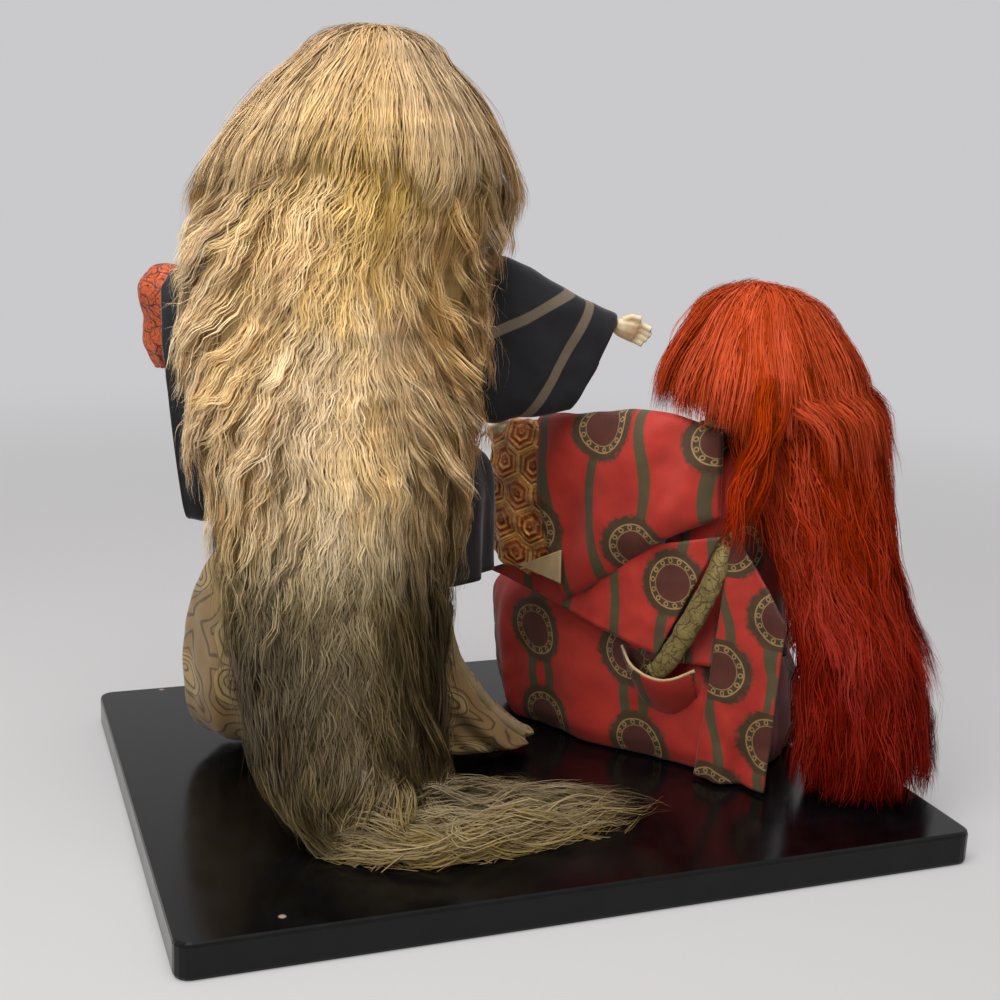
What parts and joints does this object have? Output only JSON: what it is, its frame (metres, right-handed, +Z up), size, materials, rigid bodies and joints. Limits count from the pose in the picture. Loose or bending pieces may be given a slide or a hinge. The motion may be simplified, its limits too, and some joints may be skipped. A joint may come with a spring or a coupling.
{
  "type": "kabuki lion-dance doll pair",
  "caption": "Display dolls of a standing long-maned lion dancer and a kneeling red-maned one, in layered brocade on a lacquered board, with heads that turn on neck pegs.",
  "frame": {"origin": "middle of the board's underside", "axes": "+Z up, X along the board's long side, and the standing figure faces -Y"},
  "size_m": [0.4353, 0.322, 0.418],
  "materials": {
    "lacquer": "black gloss lacquer",
    "steel": "drawn wire",
    "wood": "bare softwood",
    "straw": "bound straw",
    "gesso": "polished shell-white gesso",
    "black_cloth": "matt black silk",
    "red_cloth": "twill with wavy stripes and roundels",
    "orange_brocade": "brocade with metal thread",
    "gold_brocade": "brocade with gold thread",
    "tan_brocade": "satin brocade with swirls",
    "red_lining": "plain silk",
    "cream_lining": "plain silk",
    "cream_hair": "crimped long hair",
    "red_hair": "straight long hair"
  },
  "bodies": {
    "stand": {"base_board": "lacquer", "parent_left_foot_screw": "steel", "parent_right_foot_screw": "steel", "child_front_screw": "steel", "child_back_screw": "steel", "parent_left_leg_post": "wood", "parent_right_leg_post": "wood", "parent_left_arm_wire": "steel", "parent_right_arm_wire": "steel", "parent_left_foot": "gesso", "parent_right_foot": "gesso", "parent_torso_core": "straw", "parent_left_trouser_leg": "tan_brocade", "parent_right_trouser_leg": "tan_brocade", "parent_robe": "black_cloth", "parent_collar": "red_lining", "parent_waist_sash": "gold_brocade", "parent_right_sleeve": "black_cloth", "parent_left_sleeve": "black_cloth", "parent_right_undersleeve": "red_lining", "parent_left_undersleeve": "orange_brocade", "parent_left_hand": "gesso", "parent_right_hand": "gesso", "parent_mane_fall": "cream_hair", "parent_mane_train": "cream_hair", "child_seat_block": "wood", "child_post": "wood", "child_left_arm_wire": "steel", "child_right_arm_wire": "steel", "child_torso_core": "straw", "child_skirt": "red_cloth", "child_robe": "red_cloth", "child_collar": "cream_lining", "child_left_sleeve": "red_cloth", "child_right_sleeve": "red_cloth", "child_left_undersleeve": "orange_brocade", "child_right_undersleeve": "orange_brocade", "child_left_hand": "gesso", "child_right_hand": "gesso", "child_left_flap": "red_cloth", "child_gold_roll": "gold_brocade", "child_back_panel": "red_cloth", "child_mane_fall": "red_hair", "child_mane_tail": "red_hair"},
    "parent_head_and_wig": {"parent_head": "gesso", "parent_neck_peg": "wood", "parent_mane_crown": "cream_hair"},
    "child_head_and_wig": {"child_head": "gesso", "child_neck_peg": "wood", "child_mane_crown": "red_hair"}
  },
  "joints": [
    {"name": "parent_head_turn", "type": "hinge", "parent": "stand", "child": "parent_head_and_wig", "pos_m": [0.088, -0.02, 0.3185], "axis": [0, 0, 1], "range_deg": [-10, 10]},
    {"name": "child_head_turn", "type": "hinge", "parent": "stand", "child": "child_head_and_wig", "pos_m": [-0.13, 0.008, 0.2185], "axis": [0, 0, 1], "range_deg": [-10, 10]}
  ]
}
